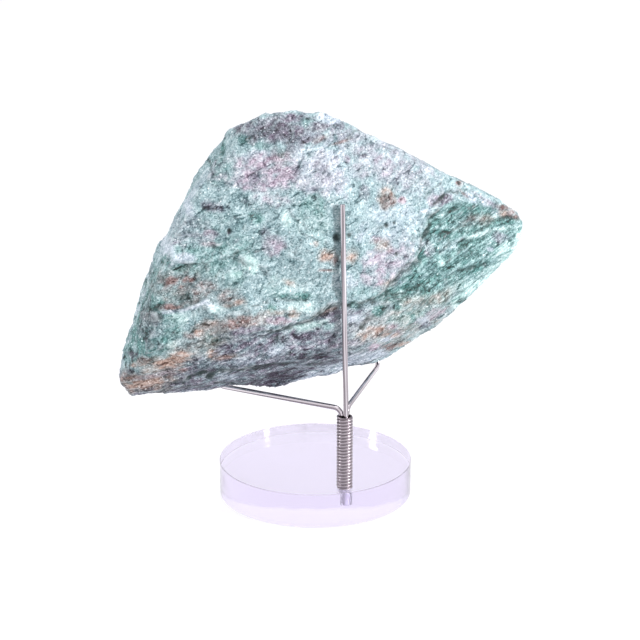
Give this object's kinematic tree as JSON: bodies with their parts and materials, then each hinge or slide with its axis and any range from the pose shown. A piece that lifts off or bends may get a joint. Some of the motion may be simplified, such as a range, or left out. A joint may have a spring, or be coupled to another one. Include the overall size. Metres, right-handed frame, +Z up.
{
  "type": "fuchsite specimen on display stand",
  "caption": "Rough wedge of green fuchsite mica schist resting on hooked steel wire arms against a straight wire post, held by a threaded stem in a clear acrylic disc foot.",
  "frame": {"origin": "centre of the acrylic foot's underside, on the table", "axes": "+Z up, +Y along the stand's middle from the stem towards the two hooks under the stone, +X to the right seen from the stem's side"},
  "size_m": [0.1663, 0.0762, 0.1598],
  "materials": {
    "clear_acrylic": "clear polished acrylic",
    "steel_thread": "bright threaded rod",
    "steel_wire": "smooth bright wire",
    "fuchsite": "rough mica schist with a pearly glitter"
  },
  "bodies": {
    "root": {"acrylic_foot": "clear_acrylic", "threaded_stem": "steel_thread", "rear_post": "steel_wire", "right_arm": "steel_wire", "left_arm": "steel_wire", "fuchsite_stone": "fuchsite"}
  },
  "joints": []
}
